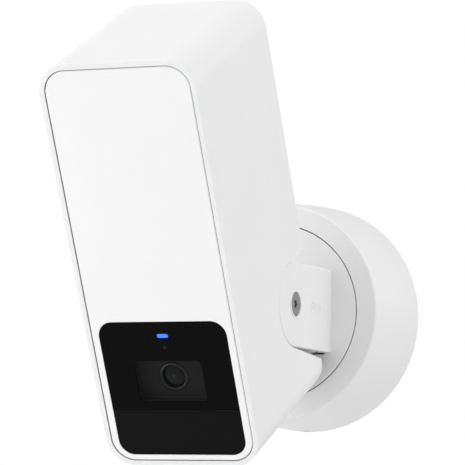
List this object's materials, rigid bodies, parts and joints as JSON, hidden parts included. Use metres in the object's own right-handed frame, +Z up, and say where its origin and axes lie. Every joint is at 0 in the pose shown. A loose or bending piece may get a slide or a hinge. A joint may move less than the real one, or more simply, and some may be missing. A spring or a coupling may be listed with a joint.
{
  "type": "floodlight security camera",
  "caption": "Tall rounded box with a frosted light panel and a black camera panel, held by a tilting hinge yoke on a round swivelling wall base.",
  "frame": {"origin": "centre of the base's wall face", "axes": "+Y into the wall, along the swivel axis, +Z up, +X to the right as seen from the front"},
  "size_m": [0.138, 0.2734, 0.2619],
  "materials": {
    "white_shell": "fine satin",
    "white_hinge": "glass-filled, fine satin",
    "diffuser_white": "frosted",
    "tray_white": "matte",
    "gloss_black": "glossy",
    "sensor_black": "satin",
    "lens_black": "matte",
    "lens_glass": "coated",
    "dark_dot": "glossy",
    "status_blue": "lit light guide",
    "seal_grey": "matte",
    "rubber_black": "matte",
    "pearl_plastic": "frosted",
    "board_green": "solder mask",
    "board_white": "white solder mask",
    "led_yellow": "phosphor",
    "grey_plastic": "fine texture",
    "black_plastic": "fine texture",
    "ivory_plastic": "smooth",
    "steel": "zinc plated",
    "dark_steel": "satin",
    "brass": "satin",
    "aluminium": "cast"
  },
  "bodies": {
    "base": {"mounting_plate": "steel", "wall_gasket": "seal_grey", "base_housing": "white_shell", "terminal_block": "ivory_plastic", "terminal_screws": "steel", "ground_screw": "brass", "cable_grommet": "rubber_black", "base_screws": "steel", "swivel_bearing": "ivory_plastic", "swivel_stop_pin": "steel"},
    "arm": {"swivel_plate": "white_hinge", "disc_spring": "steel", "swivel_retainer": "steel", "hinge_yoke": "white_hinge", "plate_screws": "steel", "pivot_pin": "steel", "pivot_screw": "dark_steel", "pivot_cap": "white_shell", "friction_washers": "seal_grey"},
    "head": {"head_housing": "white_shell", "front_gasket": "seal_grey", "front_diffuser": "diffuser_white", "camera_window": "gloss_black", "sensor_window": "sensor_black", "status_light": "status_blue", "light_sensor": "dark_dot", "lens_bezel": "lens_black", "lens_barrel": "lens_black", "lens_glass": "lens_glass", "image_sensor_board": "board_green", "motion_lens": "pearl_plastic", "motion_sensor": "steel", "sensor_board": "board_green", "chassis": "grey_plastic", "chassis_screws": "steel", "reflector_tray": "tray_white", "led_board": "board_white", "led_chips": "led_yellow", "heat_sink": "aluminium", "main_board": "board_green", "chip_shields": "steel", "wifi_antenna": "brass", "power_supply": "black_plastic", "speaker": "black_plastic", "microphone": "brass", "hinge_lug": "aluminium", "lug_screws": "steel", "reset_switch": "black_plastic"},
    "button": {"reset_button": "grey_plastic"}
  },
  "joints": [
    {"name": "swivel", "type": "hinge", "parent": "base", "child": "arm", "pos_m": [0, 0, 0], "axis": [0, 1, 0], "range_deg": [-90, 90]},
    {"name": "tilt", "type": "hinge", "parent": "arm", "child": "head", "pos_m": [0, -0.1192, 0], "axis": [1, 0, 0], "range_deg": [-27, 5]},
    {"name": "reset_press", "type": "slide", "parent": "head", "child": "button", "axis": [0, -0.891, -0.454], "range_m": [0, 0.001], "stiffness_N_per_m": 600, "springref_m": -0.0005}
  ]
}
